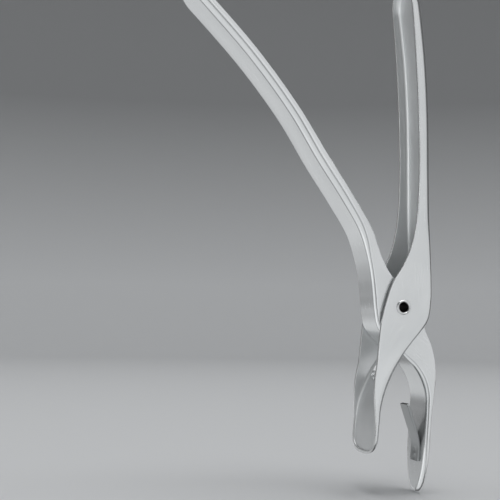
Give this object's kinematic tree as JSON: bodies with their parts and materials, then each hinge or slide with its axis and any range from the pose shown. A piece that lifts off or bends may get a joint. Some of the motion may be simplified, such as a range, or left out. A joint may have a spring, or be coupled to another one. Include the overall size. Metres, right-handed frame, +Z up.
{
  "type": "bowl lifter",
  "caption": "Sprung plier-type lifter of pressed stainless steel: two channel-section levers crossed on a hollow rivet, a wide short jaw and a long round-ended jaw with a grip tongue.",
  "frame": {"origin": "the point on the outside of the outer lever's handle where the palm bears, 80 mm above the pivot, on the middle plane of the tool", "axes": "+Z runs up the handles, +Y is the pivot axis, across the sheet widths, and +X points from the inner handle to the outer handle"},
  "size_m": [0.1087, 0.026, 0.215],
  "materials": {
    "lever_steel": "satin-polished pressed stainless sheet with bright sheared edges",
    "tongue_steel": "satin stainless leaf",
    "rivet_steel": "polished hollow rivet",
    "pivot_steel": "turned steel",
    "spring_steel": "drawn spring wire"
  },
  "bodies": {
    "outer_body": {"outer_lever": "lever_steel", "pivot_rivet": "rivet_steel", "spacer_sleeve": "pivot_steel", "near_washer": "pivot_steel", "far_washer": "pivot_steel", "torsion_spring": "spring_steel"},
    "inner_body": {"inner_lever": "lever_steel", "grip_tongue": "tongue_steel"}
  },
  "joints": [
    {"name": "lever_hinge", "type": "hinge", "parent": "outer_body", "child": "inner_body", "pos_m": [-0.0117, 0, -0.08], "axis": [0, 1, 0], "range_deg": [0, 18], "stiffness_Nm_per_rad": 0.6, "springref_deg": -14.32, "deforming": ["torsion_spring"]}
  ]
}
